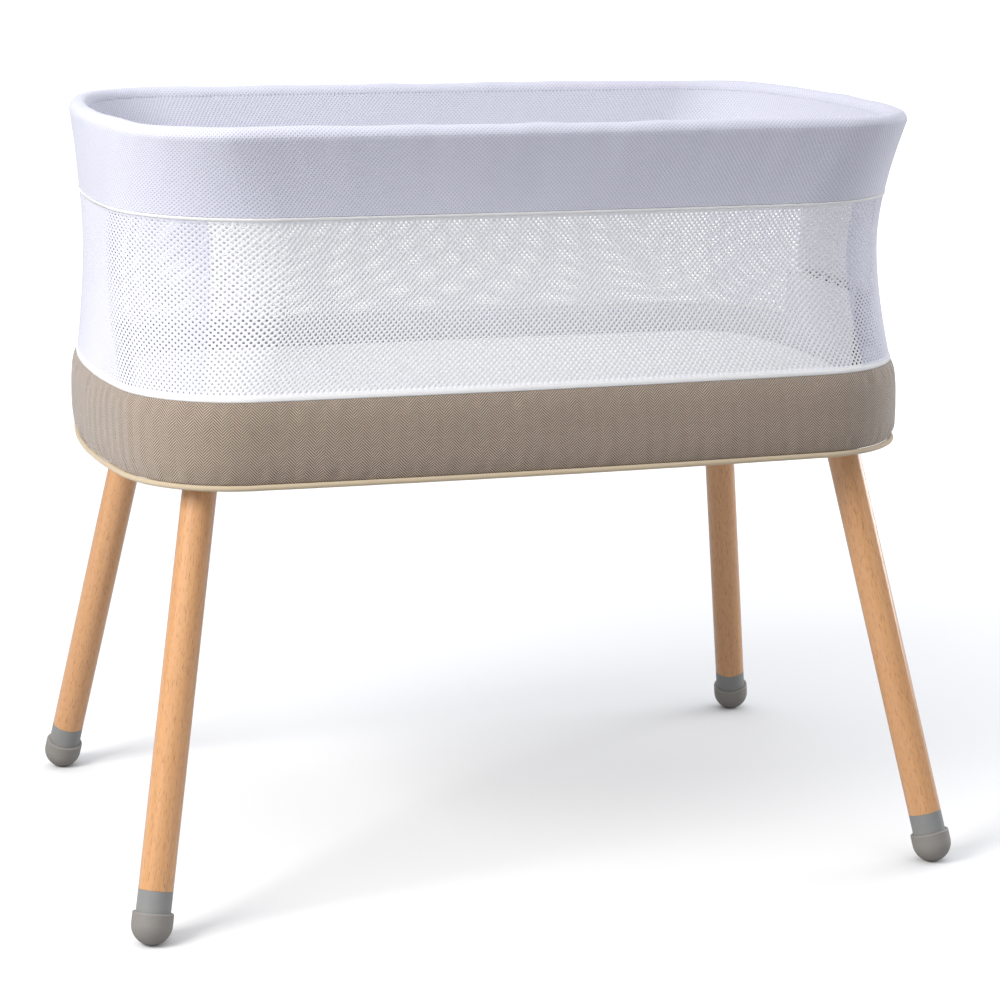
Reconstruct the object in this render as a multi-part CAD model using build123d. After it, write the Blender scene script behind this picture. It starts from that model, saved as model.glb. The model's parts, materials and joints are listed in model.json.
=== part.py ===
from build123d import *
import math
import os

# A bassinet: a padded oval basket with see-through walls on four splayed legs.
# X runs along the length, -Y is the front, +Z is up. The origin is on the floor,
# under the middle of the basket. Millimetres.

# ---- Driving dimensions ----

# Each outline is (half-length, half-width, corner radius), and its long sides and
# its ends are shallow arcs.
SIDE_RADIUS = 7300.0
END_RADIUS = 690.0
SKIRT_FOOT = (434.0, 245.5, 120.0)
SKIRT_HEAD = (433.5, 241.0, 128.0)
WAIST = (425.5, 223.0, 163.0)
RIM = (435.5, 256.0, 121.0)
TRAY = (434.0, 243.0, 124.0)

PIPING_FOOT_Z = 442.5
SKIRT_HEAD_Z = 529.5
WAIST_Z = 655.0
HEM_Z = 705.5
RIM_Z = 788.0
SKIRT_BULGE = 6.3
WALL_CURVE = 1.8

# Legs: where the axis meets the floor, and where it passes the underside.
LEG_FOOT = (429.0, 290.0)
LEG_HEAD = (349.0, 178.5)
LEG_RADIUS = 17.5
LEG_TOP = 477.0
LEG_TRAVEL_CLEAR = 0.3

# Cloth thicknesses
COVER = 1.2
NET = 1.2
BAND = 2.5
LINER = 1.0
SHEET = 0.8
GAP = 0.2

# Base
PIPING_RADIUS = 2.9
PIPING_PROUD = 1.2
COVER_FOOT_Z = PIPING_FOOT_Z + 2 * PIPING_RADIUS + 0.1
TRAY_WALL_OUT = 11.0
TRAY_WALL_IN = 15.0
BOARD_Z = 470.0
BOARD_TOP_Z = 479.0
BOARD_INSET = TRAY_WALL_IN + GAP
LEDGE_INSET = 2.2
LEDGE_FOOT_Z = SKIRT_HEAD_Z + 0.1
LEDGE_TOP_Z = LEDGE_FOOT_Z + 0.8
DUST_COVER_Z = PIPING_FOOT_Z + 3.0
DUST_COVER_TOP_Z = DUST_COVER_Z + 0.8

# Rim
ROLL_RADIUS = 10.0
TUBE_RADIUS = 6.0
TUBE_BORE = 4.8
FOAM_RADIUS = ROLL_RADIUS - BAND - 0.9

# End frames
POST_Y = 70.0
POST_RADIUS = 4.5
POST_BORE = 3.5
BRACKET_HALF_WIDTH = 86.0
BRACKET_TOP_Z = 588.0
BRACKET_IN = 28.0
BRACKET_OUT = TRAY_WALL_IN + GAP + LINER + GAP
SLEEVE_HALF_WIDTH = 95.0

# Net and band are cut into four panels, seamed at the corners
SEAM_X = 340.0

# Mattress
MATTRESS_INSET = 33.0
MATTRESS_FOOT_Z = BOARD_TOP_Z + 0.3
MATTRESS_TOP_Z = 509.0
MATTRESS_EDGE = 9.0

# Leg sockets, screws and threaded inserts
SOCKET_RADIUS = 29.0
SOCKET_HEIGHT = 30.0
SOCKET_SCREW_CIRCLE = 21.5
SOCKET_SCREW_HEAD_Z = BOARD_Z - 7.5
INSERT_RADIUS = 6.0
INSERT_LENGTH = 12.0
SCREW_SHANK = 2.0
SCREW_HEAD = 4.0
SCREW_HEAD_HEIGHT = 2.4
SCREW_CLEAR = 0.3
SCREW_SUNK = 0.8
POST_CLEAR = 0.15
POST_FOOT_Z = 489.0
POST_BEND_Z = HEM_Z + 8
POST_BEND_RADIUS = 150.0
BRACKET_SCREW_HEIGHTS = (492.0, 514.0)
BRACKET_SCREW_Y = 35.0

CORNERS = {
    "front_left": (-1, -1),
    "front_right": (1, -1),
    "rear_left": (-1, 1),
    "rear_right": (1, 1),
}
ENDS = {"left": -1, "right": 1}


# ---- Outlines ----


def arc_points(size, inset):
    """The three arcs of the quarter outline with x and y above 0, each as three points."""
    half_length, half_width, corner = size
    side = Vector(0, half_width - SIDE_RADIUS)
    end = Vector(half_length - END_RADIUS, 0)
    to_side = SIDE_RADIUS - corner
    to_end = END_RADIUS - corner
    span = end - side
    along = (to_side**2 - to_end**2 + span.length**2) / (2 * span.length)
    across = math.sqrt(to_side**2 - along**2)
    unit = span.normalized()
    middle = side + unit * along + Vector(unit.Y, -unit.X) * across
    end_angle = math.atan2(middle.Y - end.Y, middle.X - end.X)
    side_angle = math.atan2(middle.Y - side.Y, middle.X - side.X)
    arcs = []
    for centre, radius, start, stop in (
        (end, END_RADIUS - inset, 0.0, end_angle),
        (middle, corner - inset, end_angle, side_angle),
        (side, SIDE_RADIUS - inset, side_angle, math.pi / 2),
    ):
        angles = (start, (start + stop) / 2, stop)
        arcs.append([centre + Vector(math.cos(t), math.sin(t)) * radius for t in angles])
    return arcs


def quarter(size, inset, z, flip_x, flip_y):
    """Edges of one quarter, running anticlockwise seen from above."""
    backwards = flip_x * flip_y < 0
    edges = []
    for points in arc_points(size, inset):
        moved = [Vector(p.X * flip_x, p.Y * flip_y, z) for p in points]
        if backwards:
            moved.reverse()
        edges.append(Edge.make_three_point_arc(*moved))
    if backwards:
        edges.reverse()
    return edges


def outline(size, inset, z):
    edges = quarter(size, inset, z, 1, 1)
    edges += quarter(size, inset, z, -1, 1)
    edges += quarter(size, inset, z, -1, -1)
    edges += quarter(size, inset, z, 1, -1)
    return Wire(edges)


def plate(size, inset, low, high):
    return extrude(Face(outline(size, inset, low)), amount=high - low, dir=(0, 0, 1))


def ring(size, inset_out, inset_in, low, high):
    return plate(size, inset_out, low, high) - plate(size, inset_in, low, high)


def between(first, second, share):
    return tuple(a + (b - a) * share for a, b in zip(first, second))


def wall_size(z):
    """Outline of the wall's outer face at height z: narrowest at the waist."""
    if z < WAIST_Z:
        share = (WAIST_Z - z) / (WAIST_Z - SKIRT_HEAD_Z)
        return between(WAIST, SKIRT_HEAD, share**WALL_CURVE)
    share = (z - WAIST_Z) / (RIM_Z - WAIST_Z)
    return between(WAIST, RIM, share**WALL_CURVE)


def skirt_size(z):
    """Outline of the skirt's outer face at height z, with the padding's bulge."""
    share = (z - COVER_FOOT_Z) / (SKIRT_HEAD_Z - COVER_FOOT_Z)
    bulge = SKIRT_BULGE * (1 - abs(2 * share - 1) ** 2.4)
    return tuple(v + bulge for v in between(SKIRT_FOOT, SKIRT_HEAD, share))


def lofted(size_at, inset, low, high, steps):
    heights = [low + (high - low) * i / steps for i in range(steps + 1)]
    return loft([Face(outline(size_at(z), inset, z)) for z in heights])


def lofted_ring(size_at, inset_out, inset_in, low, high, steps):
    outer = lofted(size_at, inset_out, low, high, steps)
    return outer - lofted(size_at, inset_in, low, high, steps)


def end_x(size, inset, y):
    """X of the end arc at a given y."""
    radius = END_RADIUS - inset
    return size[0] - END_RADIUS + math.sqrt(radius**2 - y**2)


def side_y(size, inset, x):
    """Y of the side arc at a given x."""
    radius = SIDE_RADIUS - inset
    return size[1] - SIDE_RADIUS + math.sqrt(radius**2 - x**2)


def rod(start, direction, radius, length):
    """A cylinder that starts at a point and runs along a direction."""
    return extrude(Plane(origin=start, z_dir=direction) * Circle(radius), amount=length)


def tube_along(path, plane, outer, bore):
    return sweep(plane * (Circle(outer) - Circle(bore)), path=path)


# ---- Legs ----

LEG_RISE = PIPING_FOOT_Z
LEG_RUN = math.hypot(LEG_FOOT[0] - LEG_HEAD[0], LEG_FOOT[1] - LEG_HEAD[1])
LEG_COS = LEG_RISE / math.hypot(LEG_RISE, LEG_RUN)

CUP_RADIUS = 20.75
CUP_CENTRE = 20.0 / LEG_COS
CUP_TOP = 33.0
CUP_FLOOR = 11.5
FERRULE_TOP = 55.0
FERRULE_WALL = 2.5
TENON_RADIUS = LEG_RADIUS - FERRULE_WALL - 0.1
BOLT_RADIUS = 4.0
BOLT_IN_LEG = 42.0
BOLT_STICKS_OUT = 20.0


def leg_plane(flip_x, flip_y):
    """Its origin is where the leg's axis meets the floor, and its Z runs up the leg."""
    rise = (
        flip_x * (LEG_HEAD[0] - LEG_FOOT[0]),
        flip_y * (LEG_HEAD[1] - LEG_FOOT[1]),
        LEG_RISE,
    )
    foot = (flip_x * LEG_FOOT[0], flip_y * LEG_FOOT[1], 0)
    return Plane(origin=foot, x_dir=(1, 0, flip_x * -rise[0] / LEG_RISE * flip_x), z_dir=rise)


def along(low, high, radius):
    """A cylinder up a leg's axis, between two distances from the floor."""
    return Pos(0, 0, low) * Cylinder(radius, high - low, align=(Align.CENTER, Align.CENTER, Align.MIN))


def leg():
    shaft = along(FERRULE_TOP + 0.1, LEG_TOP, LEG_RADIUS)
    shaft = chamfer(shaft.edges().group_by(Axis.Z)[-1], 0.8)
    tenon = along(CUP_FLOOR + 3.7, FERRULE_TOP + 0.1, TENON_RADIUS)
    return shaft + tenon - along(LEG_TOP - BOLT_IN_LEG - 1, LEG_TOP + 1, BOLT_RADIUS)


def hanger_bolt():
    bolt = along(LEG_TOP - BOLT_IN_LEG, LEG_TOP + BOLT_STICKS_OUT, BOLT_RADIUS)
    return chamfer(bolt.edges().filter_by(GeomType.CIRCLE), 1.0)


def ferrule():
    body = along(CUP_FLOOR + 0.1, FERRULE_TOP, LEG_RADIUS)
    body = fillet(body.edges().group_by(Axis.Z)[0], 2.0)
    body = fillet(body.edges().group_by(Axis.Z)[-1], 0.6)
    return body - along(CUP_FLOOR + 3.6, FERRULE_TOP + 1, LEG_RADIUS - FERRULE_WALL)


def foot_cup():
    dome = Pos(0, 0, CUP_CENTRE) * Sphere(CUP_RADIUS)
    dome -= along(CUP_CENTRE, CUP_CENTRE + 2 * CUP_RADIUS, 2 * CUP_RADIUS)
    body = dome + along(CUP_CENTRE, CUP_TOP, CUP_RADIUS)
    body -= along(CUP_FLOOR, CUP_TOP + 1, LEG_RADIUS + 0.05)
    rims = body.edges().filter_by(GeomType.CIRCLE).group_by(Axis.Z)[-1]
    return fillet(rims.sort_by(SortBy.RADIUS)[-1], 1.4)


# ---- Base ----


def upright_rod(x, y, low, radius, length):
    return Pos(x, y, low) * Cylinder(radius, length, align=(Align.CENTER, Align.CENTER, Align.MIN))


def leg_socket(plane):
    """A wedge under the board, whose lower face is square to the leg."""
    reach = (BOARD_Z - 4) / plane.z_dir.Z
    top = plane.origin + plane.z_dir * reach
    foot_z = BOARD_Z - SOCKET_HEIGHT
    block = upright_rod(top.X, top.Y, foot_z, SOCKET_RADIUS, SOCKET_HEIGHT - 0.1)
    block -= plane * along(LEG_TOP - 60, LEG_TOP + LEG_TRAVEL_CLEAR, 60)
    block -= Pos(0, 0, DUST_COVER_TOP_Z + GAP - 50) * Box(1000, 1000, 100)
    block -= plane * along(LEG_TOP, LEG_TOP + 40, INSERT_RADIUS + 0.05)
    for x, y in socket_screw_places(top.X, top.Y):
        block -= upright_rod(x, y, foot_z, SCREW_HEAD + SCREW_CLEAR, SOCKET_HEIGHT - 5)
        block -= upright_rod(x, y, foot_z, SCREW_SHANK, SOCKET_HEIGHT + 10)
    return block, (top.X, top.Y)


def socket_screw_places(x, y):
    for turn in (30, 150, 270):
        angle = math.radians(turn)
        yield (
            x + SOCKET_SCREW_CIRCLE * math.cos(angle),
            y + SOCKET_SCREW_CIRCLE * math.sin(angle),
        )


def pan_screw(start, direction, head_length, length):
    """A screw that starts at its head's outer face and runs along a direction."""
    step = Vector(*direction).normalized() * head_length
    head = rod(start, direction, SCREW_HEAD, head_length)
    return head + rod(Vector(*start) + step, direction, SCREW_SHANK, length)


def tray_screw_places():
    """Where the screws go through the tray wall into the board's edge, and which way."""
    z = (BOARD_Z + BOARD_TOP_Z) / 2
    for flip in (-1, 1):
        for x in (-300, -150, 0, 150, 300):
            y = side_y(TRAY, TRAY_WALL_OUT + SCREW_SUNK, x)
            yield (x, flip * y, z), (0, -flip, 0)
        for y in (-110, 110):
            x = end_x(TRAY, TRAY_WALL_OUT + SCREW_SUNK, y)
            yield (flip * x, y, z), (-flip, 0, 0)


def bracket_screw_places():
    for flip in (-1, 1):
        for y in (-BRACKET_SCREW_Y, BRACKET_SCREW_Y):
            for z in BRACKET_SCREW_HEIGHTS:
                x = end_x(TRAY, BRACKET_IN, y)
                yield (flip * x, y, z), (flip, 0, 0)


def post_path(flip_x, flip_y):
    """The upright's centre line, from inside the bracket up to the rim tube."""
    y = flip_y * POST_Y
    foot_x = end_x(TRAY, (BRACKET_OUT + BRACKET_IN) / 2, POST_Y)
    waist_x = end_x(wall_size(HEM_Z), BAND, POST_Y) - POST_RADIUS - 0.8
    rim_x = end_x(RIM, ROLL_RADIUS, POST_Y)
    return FilletPolyline(
        (flip_x * foot_x, y, POST_FOOT_Z),
        (flip_x * waist_x, y, POST_BEND_Z),
        (flip_x * rim_x, y, RIM_Z - 1),
        radius=POST_BEND_RADIUS,
    )


def post(flip_x, flip_y, outer, bore):
    path = post_path(flip_x, flip_y)
    section = Plane(origin=path @ 0, z_dir=path % 0)
    if bore:
        return tube_along(path, section, outer, bore)
    return sweep(section * Circle(outer), path=path)


def rim_path(quarters):
    edges = []
    for flip_x, flip_y in quarters:
        edges += quarter(RIM, ROLL_RADIUS, RIM_Z, flip_x, flip_y)
    return Wire(edges)


RIM_PATH = rim_path([(1, 1), (-1, 1), (-1, -1), (1, -1)])
RIM_SECTION = Plane(
    origin=(RIM[0] - ROLL_RADIUS, 0, RIM_Z), x_dir=(1, 0, 0), z_dir=(0, -1, 0)
)


def rim_sweep(section):
    return sweep(RIM_SECTION * section, path=RIM_PATH)


def end_panel(size, inset_out, inset_in, low, high, half_width, flip, corner):
    """A curved upright panel against one end, with rounded corners."""
    band = ring(size, inset_out, inset_in, low, high)
    middle = (low + high) / 2
    face = Plane.YZ * Pos(0, middle) * RectangleRounded(2 * half_width, high - low, corner)
    return band & extrude(face, amount=flip * 500)


parts = {}

posts = {}
post_cuts = {}
for name, (flip_x, flip_y) in CORNERS.items():
    posts[name] = post(flip_x, flip_y, POST_RADIUS, POST_BORE)
    post_cuts[name] = post(flip_x, flip_y, POST_RADIUS + POST_CLEAR, 0)

# Legs with their bolts, ferrules and foot cups, and the sockets they screw into
board = plate(TRAY, BOARD_INSET, BOARD_Z, BOARD_TOP_Z)
dust_cover = plate(TRAY, TRAY_WALL_OUT - 6, DUST_COVER_Z, DUST_COVER_TOP_Z)
inserts = []
socket_screws = []
below_floor = Pos(0, 0, -50) * Box(1200, 1200, 100)
for name, (flip_x, flip_y) in CORNERS.items():
    plane = leg_plane(flip_x, flip_y)
    parts["leg_" + name] = plane * leg()
    parts["hanger_bolt_" + name] = plane * hanger_bolt()
    parts["ferrule_" + name] = plane * ferrule()
    parts["foot_cup_" + name] = plane * foot_cup() - below_floor
    socket, (top_x, top_y) = leg_socket(plane)
    parts["leg_socket_" + name] = socket
    insert = along(LEG_TOP + LEG_TRAVEL_CLEAR, LEG_TOP + INSERT_LENGTH, INSERT_RADIUS)
    insert -= along(LEG_TOP, LEG_TOP + 2 * INSERT_LENGTH, BOLT_RADIUS + 0.08)
    inserts.append(plane * insert)
    board -= plane * along(LEG_TOP, LEG_TOP + 50, INSERT_RADIUS + 1.0)
    dust_cover -= plane * along(LEG_TOP - 60, LEG_TOP + 20, LEG_RADIUS + 2.0)
    for x, y in socket_screw_places(top_x, top_y):
        screw = pan_screw((x, y, SOCKET_SCREW_HEAD_Z), (0, 0, 1), SCREW_HEAD_HEIGHT, 13.5)
        socket_screws.append(screw)
        board -= rod((x, y, BOARD_Z - 1), (0, 0, 1), SCREW_SHANK, 9.5)
parts["threaded_inserts"] = Compound(inserts)
parts["socket_screws"] = Compound(socket_screws)
parts["dust_cover"] = dust_cover

# The tray: an upright wall screwed round the board's edge, and a white liner that
# folds out over the top of the skirt to the foot of the net
tray_wall = ring(TRAY, TRAY_WALL_OUT, TRAY_WALL_IN, COVER_FOOT_Z + 1.5, SKIRT_HEAD_Z - 1.5)
liner = ring(TRAY, BOARD_INSET, BOARD_INSET + LINER, BOARD_TOP_Z + 0.1, LEDGE_TOP_Z)
ledge = plate(SKIRT_HEAD, LEDGE_INSET, LEDGE_FOOT_Z, LEDGE_TOP_Z)
liner += ledge - plate(TRAY, BOARD_INSET + LINER / 2, LEDGE_FOOT_Z - 1, LEDGE_TOP_Z + 1)
tray_screws = []
for place, way in tray_screw_places():
    outside = Vector(*place) - Vector(*way) * 4
    shaft = rod(outside, way, SCREW_SHANK, 28)
    tray_wall -= shaft
    tray_wall -= rod(outside, way, SCREW_HEAD, 6.0)
    board -= shaft
    tray_screws.append(pan_screw(place, way, 2.0, 22))
parts["tray_screws"] = Compound(tray_screws)

# End frames: a bracket at each end carries two uprights up to the rim tube
brackets = {}
for name, flip in ENDS.items():
    bracket = end_panel(
        TRAY, BRACKET_OUT, BRACKET_IN, BOARD_TOP_Z + 0.2, BRACKET_TOP_Z, BRACKET_HALF_WIDTH, flip, 6
    )
    for side in ("front_", "rear_"):
        bracket -= post_cuts[side + name]
    brackets[name] = bracket
bracket_screws = []
for place, way in bracket_screw_places():
    outside = Vector(*place) - Vector(*way) * 5
    shaft = rod(outside, way, SCREW_SHANK, 23)
    name = "right" if way[0] > 0 else "left"
    brackets[name] -= shaft
    brackets[name] -= rod(outside, way, SCREW_HEAD + SCREW_CLEAR, 7.4)
    tray_wall -= shaft
    liner -= shaft
    bracket_screws.append(pan_screw(place, way, SCREW_HEAD_HEIGHT, 13))
parts["bracket_screws"] = Compound(bracket_screws)
for name in ENDS:
    parts["end_bracket_" + name] = brackets[name]
parts["base_board"] = board
parts["tray_wall"] = tray_wall
parts["tray_liner"] = liner

# The skirt: cloth round a foam ring, turned in at the top and at the bottom
skirt = lofted(skirt_size, 0, COVER_FOOT_Z, SKIRT_HEAD_Z, 6)
hollow_low = COVER_FOOT_Z + COVER
hollow_high = SKIRT_HEAD_Z - COVER
hollow = lofted(skirt_size, COVER, hollow_low, hollow_high, 6)
inside = plate(TRAY, TRAY_WALL_IN, COVER_FOOT_Z - 5, SKIRT_HEAD_Z + 5)
parts["skirt_cover"] = skirt - hollow - inside
padding = lofted(skirt_size, COVER + 0.1, hollow_low + 0.1, hollow_high - 0.1, 6)
parts["skirt_padding"] = padding - plate(
    TRAY, TRAY_WALL_OUT - 0.1, COVER_FOOT_Z - 5, SKIRT_HEAD_Z + 5
)
piping_z = PIPING_FOOT_Z + PIPING_RADIUS
piping_path = outline(SKIRT_FOOT, -PIPING_PROUD, piping_z)
piping_plane = Plane(
    origin=(SKIRT_FOOT[0] + PIPING_PROUD, 0, piping_z), x_dir=(1, 0, 0), z_dir=(0, -1, 0)
)
parts["skirt_piping"] = sweep(piping_plane * Circle(PIPING_RADIUS), path=piping_path)

# The wall: binding tape, four net panels and a hem
BINDING_TOP_Z = SKIRT_HEAD_Z + 5.0
NET_TOP_Z = HEM_Z - 1.0
HEM_TOP_Z = HEM_Z + 3.0
parts["net_binding"] = lofted_ring(wall_size, -0.7, 1.2, SKIRT_HEAD_Z + 0.1, BINDING_TOP_Z, 1)
net = lofted_ring(wall_size, 0, NET, BINDING_TOP_Z + 0.1, NET_TOP_Z, 4)
parts["band_hem"] = lofted_ring(wall_size, -0.7, BAND, NET_TOP_Z + 0.1, HEM_TOP_Z, 1)
middle_box = Box(2 * SEAM_X - 0.2, 600, 600)
end_box = Box(300, 700, 600, align=(Align.MIN, Align.CENTER, Align.CENTER))
PANELS = {
    "front": Pos(0, -300, WAIST_Z) * middle_box,
    "back": Pos(0, 300, WAIST_Z) * middle_box,
    "right": Pos(SEAM_X + 0.1, 0, WAIST_Z) * end_box,
    "left": Pos(-SEAM_X - 0.1, 0, WAIST_Z) * Rot(0, 0, 180) * end_box,
}
for name, region in PANELS.items():
    parts["net_" + name] = net & region

# The top band rolls over the rim tube, and a lining hangs inside it
roll = Circle(ROLL_RADIUS) - Circle(ROLL_RADIUS - BAND)
roll -= Pos(0, -ROLL_RADIUS) * Rectangle(4 * ROLL_RADIUS, 2 * ROLL_RADIUS)
band = lofted_ring(wall_size, 0, BAND, HEM_TOP_Z + 0.1, RIM_Z, 4)
band += rim_sweep(roll)
for name, region in PANELS.items():
    parts["top_band_" + name] = band & region
LINING_HEAD = tuple(v - 2 * ROLL_RADIUS + 1.5 for v in RIM)
LINING_FOOT = (410.5, 221.5, 148.0)


def lining_size(z):
    share = (z - HEM_TOP_Z) / (RIM_Z - HEM_TOP_Z)
    return between(LINING_FOOT, LINING_HEAD, share)


parts["band_lining"] = lofted_ring(lining_size, 0, 1.5, HEM_TOP_Z + 0.1, RIM_Z - 0.1, 2)
foam = rim_sweep(Circle(FOAM_RADIUS) - Circle(TUBE_RADIUS + 0.1))
tube_space = rim_sweep(Circle(TUBE_RADIUS + 0.05))
for name, (flip_x, flip_y) in CORNERS.items():
    foam -= post_cuts[name]
    parts["upright_" + name] = posts[name] - tube_space
parts["rim_foam"] = foam

# The rim tube: two halves that meet on plugs at the front and at the back
for name, flip in ENDS.items():
    path = rim_path([(flip, -flip), (flip, flip)])
    start = (0, -flip * (RIM[1] - ROLL_RADIUS), RIM_Z)
    half = tube_along(path, Plane(origin=start, z_dir=(flip, 0, 0)), TUBE_RADIUS, TUBE_BORE)
    parts["rim_tube_" + name] = half - Pos(0, 0, RIM_Z) * Box(0.1, 900, 40)
plugs = []
for flip in (-1, 1):
    start = (-30, flip * (RIM[1] - ROLL_RADIUS), RIM_Z)
    plugs.append(rod(start, (1, 0, 0), TUBE_BORE - 0.1, 60))
parts["rim_tube_plugs"] = Compound(plugs)

# White cloth at each end: a sleeve hides the uprights, and a flap hides the bracket
for name, flip in ENDS.items():
    sleeve = end_panel(
        WAIST, 2.4, 17, BRACKET_TOP_Z + 3, NET_TOP_Z - 3, SLEEVE_HALF_WIDTH, flip, 4
    )
    for side in ("front_", "rear_"):
        sleeve -= post_cuts[side + name]
    parts["end_sleeve_" + name] = sleeve
    parts["bracket_cover_" + name] = end_panel(
        TRAY,
        BRACKET_IN + GAP,
        BRACKET_IN + GAP + LINER,
        BOARD_TOP_Z + 0.2,
        BRACKET_TOP_Z + 2.5,
        SLEEVE_HALF_WIDTH - 2,
        flip,
        3,
    )

# The mattress: a foam pad on a thin board, in a fitted sheet turned in underneath
sheet_outer = plate(TRAY, MATTRESS_INSET, MATTRESS_FOOT_Z, MATTRESS_TOP_Z)
sheet_outer = fillet(sheet_outer.edges().group_by(Axis.Z)[-1], MATTRESS_EDGE)
sheet_outer = fillet(sheet_outer.edges().group_by(Axis.Z)[0], MATTRESS_EDGE / 3)
cavity_low = MATTRESS_FOOT_Z + SHEET
cavity_high = MATTRESS_TOP_Z - SHEET
cavity = plate(TRAY, MATTRESS_INSET + SHEET, cavity_low, cavity_high)
cavity = fillet(cavity.edges().group_by(Axis.Z)[-1], MATTRESS_EDGE - SHEET)
cavity = fillet(cavity.edges().group_by(Axis.Z)[0], MATTRESS_EDGE / 3 - SHEET)
turn_in = plate(TRAY, MATTRESS_INSET + 40, MATTRESS_FOOT_Z - 1, cavity_low + 1)
parts["fitted_sheet"] = sheet_outer - cavity - turn_in
pad_inset = MATTRESS_INSET + SHEET + 0.1
pad_low = cavity_low + 3.2
pad = plate(TRAY, pad_inset, pad_low, cavity_high - 0.1)
parts["mattress_pad"] = fillet(pad.edges().group_by(Axis.Z)[-1], MATTRESS_EDGE - SHEET)
parts["mattress_board"] = plate(TRAY, pad_inset + 3, cavity_low + 0.1, pad_low - 0.1)

for name, shape in parts.items():
    shape.label = name
    export_step(shape, f"parts/{name}.step")
print(len(parts), "pieces written")
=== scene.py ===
import json
import math

import bmesh
import bpy
import numpy as np
from mathutils import Matrix, Vector, geometry

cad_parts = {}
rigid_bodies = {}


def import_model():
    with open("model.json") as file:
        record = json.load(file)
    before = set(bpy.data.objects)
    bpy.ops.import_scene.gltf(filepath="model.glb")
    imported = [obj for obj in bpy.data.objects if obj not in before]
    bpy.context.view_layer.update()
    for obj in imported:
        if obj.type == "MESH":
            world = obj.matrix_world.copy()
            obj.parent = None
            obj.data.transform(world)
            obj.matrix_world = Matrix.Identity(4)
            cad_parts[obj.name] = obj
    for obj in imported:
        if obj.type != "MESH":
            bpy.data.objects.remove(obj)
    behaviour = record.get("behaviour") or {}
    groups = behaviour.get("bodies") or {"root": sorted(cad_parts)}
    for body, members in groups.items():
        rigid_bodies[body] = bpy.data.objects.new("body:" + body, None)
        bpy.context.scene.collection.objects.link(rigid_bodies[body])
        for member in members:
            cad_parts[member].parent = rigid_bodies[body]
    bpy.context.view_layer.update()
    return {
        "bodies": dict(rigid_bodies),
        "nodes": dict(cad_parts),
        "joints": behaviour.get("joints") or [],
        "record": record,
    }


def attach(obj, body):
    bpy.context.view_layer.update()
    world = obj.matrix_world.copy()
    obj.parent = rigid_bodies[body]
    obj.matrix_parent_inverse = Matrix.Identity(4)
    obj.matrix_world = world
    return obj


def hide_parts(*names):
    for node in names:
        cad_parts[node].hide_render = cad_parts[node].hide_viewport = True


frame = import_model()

# %% [markdown]
# # A bassinet on four beech legs
# The frame of this object is fixed before we start: boards, tubes, legs and feet are already in the
# file, in metres, at their real places. What is left is what a sewing room and a finishing shop do:
# the net, the dimpled band, the padded skirt, the sheet, and every surface.
# First we take the fixed pieces by their names.

# %% The fixed model
nodes = frame["nodes"]
MM = 0.001

# %% [markdown]
# ## The camera
# A catalogue picture of furniture is taken with a long lens from a few metres away, because a long
# lens keeps upright things upright and does not swell the near corner. The camera stands to the
# left of the front, a little above the rim, and looks down by thirteen degrees. We turn those
# angles into the three directions of the camera: right, up and backwards.

# %% Camera
CAMERA_PLACE = Vector((-0.8777, -2.8048, 1.0475))
YAW, PITCH, ROLL = math.radians(17.79), math.radians(13.145), math.radians(0.663)
LENS_SHARE = 2.735


def add_camera():
    ahead = Vector((math.sin(YAW) * math.cos(PITCH), math.cos(YAW) * math.cos(PITCH), -math.sin(PITCH)))
    level = Vector((math.cos(YAW), -math.sin(YAW), 0))
    upward = level.cross(ahead)
    right = level * math.cos(ROLL) + upward * math.sin(ROLL)
    up = upward * math.cos(ROLL) - level * math.sin(ROLL)
    data = bpy.data.cameras.new("camera")
    data.sensor_width = 36
    data.lens = 36 * LENS_SHARE
    data.clip_end = 60
    camera = bpy.data.objects.new("camera", data)
    bpy.context.scene.collection.objects.link(camera)
    turn = np.array([right, up, -ahead]).T
    camera.rotation_mode = "QUATERNION"
    camera.rotation_quaternion = Matrix(turn.tolist()).to_quaternion()
    camera.location = CAMERA_PLACE
    bpy.context.scene.camera = camera


add_camera()
print("lens", round(bpy.context.scene.camera.data.lens, 1), "mm")

# %% [markdown]
# ## The shape of the basket
# Seen from above the basket is neither a rectangle nor an ellipse. Its long sides are almost
# straight, its ends are shallow arcs, and a rounder arc joins them. A pattern cutter would draw it
# with three compass settings, and so do we. Every cloth piece follows this outline at its own
# height, so one function gives a point and the outward direction for any place round the loop.

# %% Outline
SIDE_RADIUS = 7.3
END_RADIUS = 0.69
SKIRT_FOOT = np.array([0.434, 0.2455, 0.120])
SKIRT_HEAD = np.array([0.4335, 0.241, 0.128])
WAIST = np.array([0.4255, 0.223, 0.163])
RIM = np.array([0.4355, 0.256, 0.121])
TRAY = np.array([0.434, 0.243, 0.124])

SKIRT_HEAD_Z = 0.5295
WAIST_Z = 0.655
HEM_Z = 0.7055
RIM_Z = 0.788


def arc_angles(size):
    """Centres and end angles of the arcs that make a quarter of the outline."""
    length, width, corner = size[..., 0], size[..., 1], size[..., 2]
    side = width - SIDE_RADIUS
    end = length - END_RADIUS
    span = np.hypot(end, side)
    along = ((SIDE_RADIUS - corner) ** 2 - (END_RADIUS - corner) ** 2 + span**2) / (2 * span)
    across = np.sqrt((SIDE_RADIUS - corner) ** 2 - along**2)
    unit_x, unit_y = end / span, -side / span
    middle_x = unit_x * along + unit_y * across
    middle_y = side + unit_y * along - unit_x * across
    end_angle = np.arctan2(middle_y, middle_x - end)
    side_angle = np.arctan2(middle_y - side, middle_x)
    return side, end, middle_x, middle_y, end_angle, side_angle


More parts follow.
